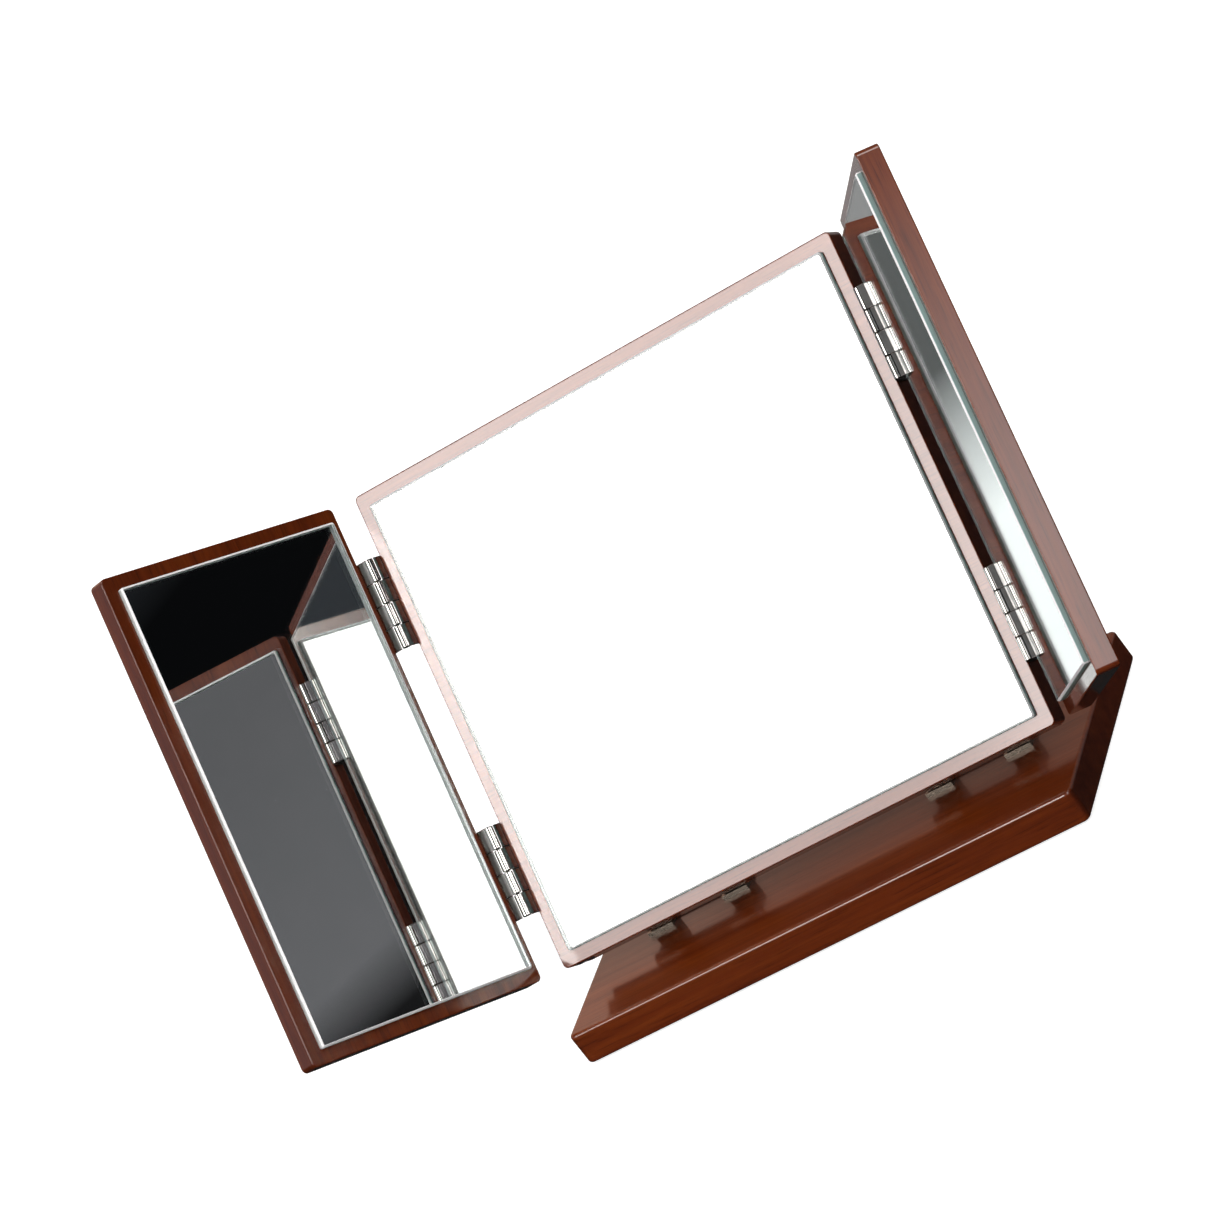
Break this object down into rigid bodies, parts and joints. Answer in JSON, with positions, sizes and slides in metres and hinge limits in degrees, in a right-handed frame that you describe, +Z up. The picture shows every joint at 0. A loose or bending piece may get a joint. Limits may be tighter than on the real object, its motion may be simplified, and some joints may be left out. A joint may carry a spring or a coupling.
{
  "type": "triptych vanity mirror",
  "caption": "Free-standing triptych vanity mirror: a wooden base carries a tilting mirror panel on friction hinges, with narrower mirror wings hinged at its sides that fold closed over it.",
  "frame": {"origin": "centre of the base's felt underside, on the table plane", "axes": "+Z up; -Y towards the user, the side the main mirror faces; +X to the user's right"},
  "size_m": [0.3655, 0.1985, 0.2554],
  "materials": {
    "lacquered_wood": "reddish brown gloss lacquer over fine straight grain",
    "clear_glass": "clear float glass with polished, faintly green edges",
    "silvering": "silver coat behind the glass, sealed with paint",
    "bonding_tape": "thin double-sided tape",
    "felt": "short-pile felt",
    "nylon": "plain nylon",
    "dark_metal": "dark satin coating",
    "satin_nickel": "satin nickel",
    "plated_steel": "bright plated steel",
    "bright_nickel": "bright nickel plate"
  },
  "bodies": {
    "base": {"base_board": "lacquered_wood", "base_felt": "felt", "left_tilt_base_leaf": "satin_nickel", "right_tilt_base_leaf": "satin_nickel", "left_tilt_shaft": "plated_steel", "right_tilt_shaft": "plated_steel", "tilt_base_screws": "plated_steel"},
    "main_panel": {"main_board": "lacquered_wood", "main_back_board": "lacquered_wood", "main_glass": "clear_glass", "main_silver": "silvering", "main_tape": "bonding_tape", "main_hinge_screws": "plated_steel", "left_tilt_panel_leaf": "dark_metal", "right_tilt_panel_leaf": "dark_metal", "left_tilt_sleeve": "nylon", "right_tilt_sleeve": "nylon", "tilt_panel_screws": "plated_steel", "left_upper_hinge_main_leaf": "bright_nickel", "left_upper_hinge_pin": "bright_nickel", "left_lower_hinge_main_leaf": "bright_nickel", "left_lower_hinge_pin": "bright_nickel", "right_upper_hinge_main_leaf": "bright_nickel", "right_upper_hinge_pin": "bright_nickel", "right_lower_hinge_main_leaf": "bright_nickel", "right_lower_hinge_pin": "bright_nickel"},
    "left_wing": {"left_wing_board": "lacquered_wood", "left_wing_glass": "clear_glass", "left_wing_silver": "silvering", "left_wing_tape": "bonding_tape", "left_wing_screws": "plated_steel", "left_upper_hinge_wing_leaf": "bright_nickel", "left_lower_hinge_wing_leaf": "bright_nickel"},
    "right_wing": {"right_wing_board": "lacquered_wood", "right_wing_glass": "clear_glass", "right_wing_silver": "silvering", "right_wing_tape": "bonding_tape", "right_wing_screws": "plated_steel", "right_upper_hinge_wing_leaf": "bright_nickel", "right_lower_hinge_wing_leaf": "bright_nickel"}
  },
  "joints": [
    {"name": "main_tilt", "type": "hinge", "parent": "base", "child": "main_panel", "pos_m": [0, -0.0116, 0.0246], "axis": [-1, 0, 0], "range_deg": [-28.3, 31.7]},
    {"name": "left_wing_fold", "type": "hinge", "parent": "main_panel", "child": "left_wing", "pos_m": [-0.11795, 0.0136, 0.1195], "axis": [0, 0.4741, 0.8805], "range_deg": [-75.2, 114.8]},
    {"name": "right_wing_fold", "type": "hinge", "parent": "main_panel", "child": "right_wing", "pos_m": [0.11795, 0.0136, 0.1195], "axis": [0, -0.4741, -0.8805], "range_deg": [-68.8, 121.2]}
  ]
}
